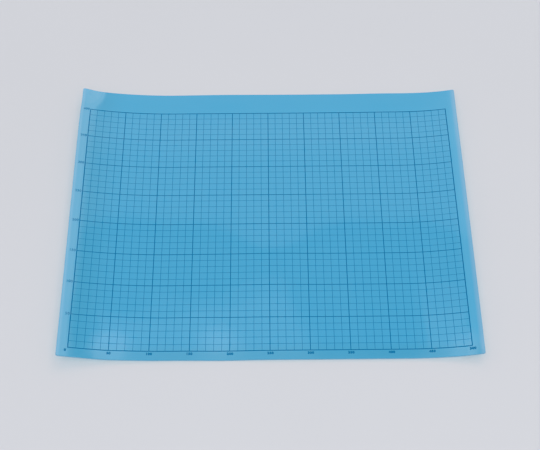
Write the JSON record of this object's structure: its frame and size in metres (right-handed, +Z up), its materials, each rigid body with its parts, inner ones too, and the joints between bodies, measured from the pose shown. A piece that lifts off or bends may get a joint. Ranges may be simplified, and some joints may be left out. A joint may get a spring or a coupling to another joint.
{
  "type": "self healing mat",
  "caption": "Thin translucent blue cutting mat of bonded plies with a printed millimetre grid, flat in the middle and slightly curled up at both ends.",
  "frame": {"origin": "on the bench, under the middle of the mat: the centre of the bounding box's bottom", "axes": "+X along the 500 mm scale, from its zero towards 500; +Y from the user's edge to the back edge, along the 400 mm scale; +Z up, out of the printed face"},
  "size_m": [0.5282, 0.448, 0.0167],
  "materials": {
    "soft_ply": "soft translucent blue vinyl with a satin sheen and a very fine grain",
    "core_sheet": "stiffer pale vinyl, seen only at the cut edge",
    "heavy_ink": "screen-printed dark blue ink, matt",
    "light_ink": "screen-printed blue ink in fine lines, matt"
  },
  "bodies": {
    "root": {"bottom_ply": "soft_ply", "core_ply": "core_sheet", "top_ply": "soft_ply", "border_line": "heavy_ink", "minor_lines_across": "light_ink", "minor_lines_up": "light_ink", "major_lines_across": "heavy_ink", "major_lines_up": "heavy_ink"}
  },
  "joints": []
}
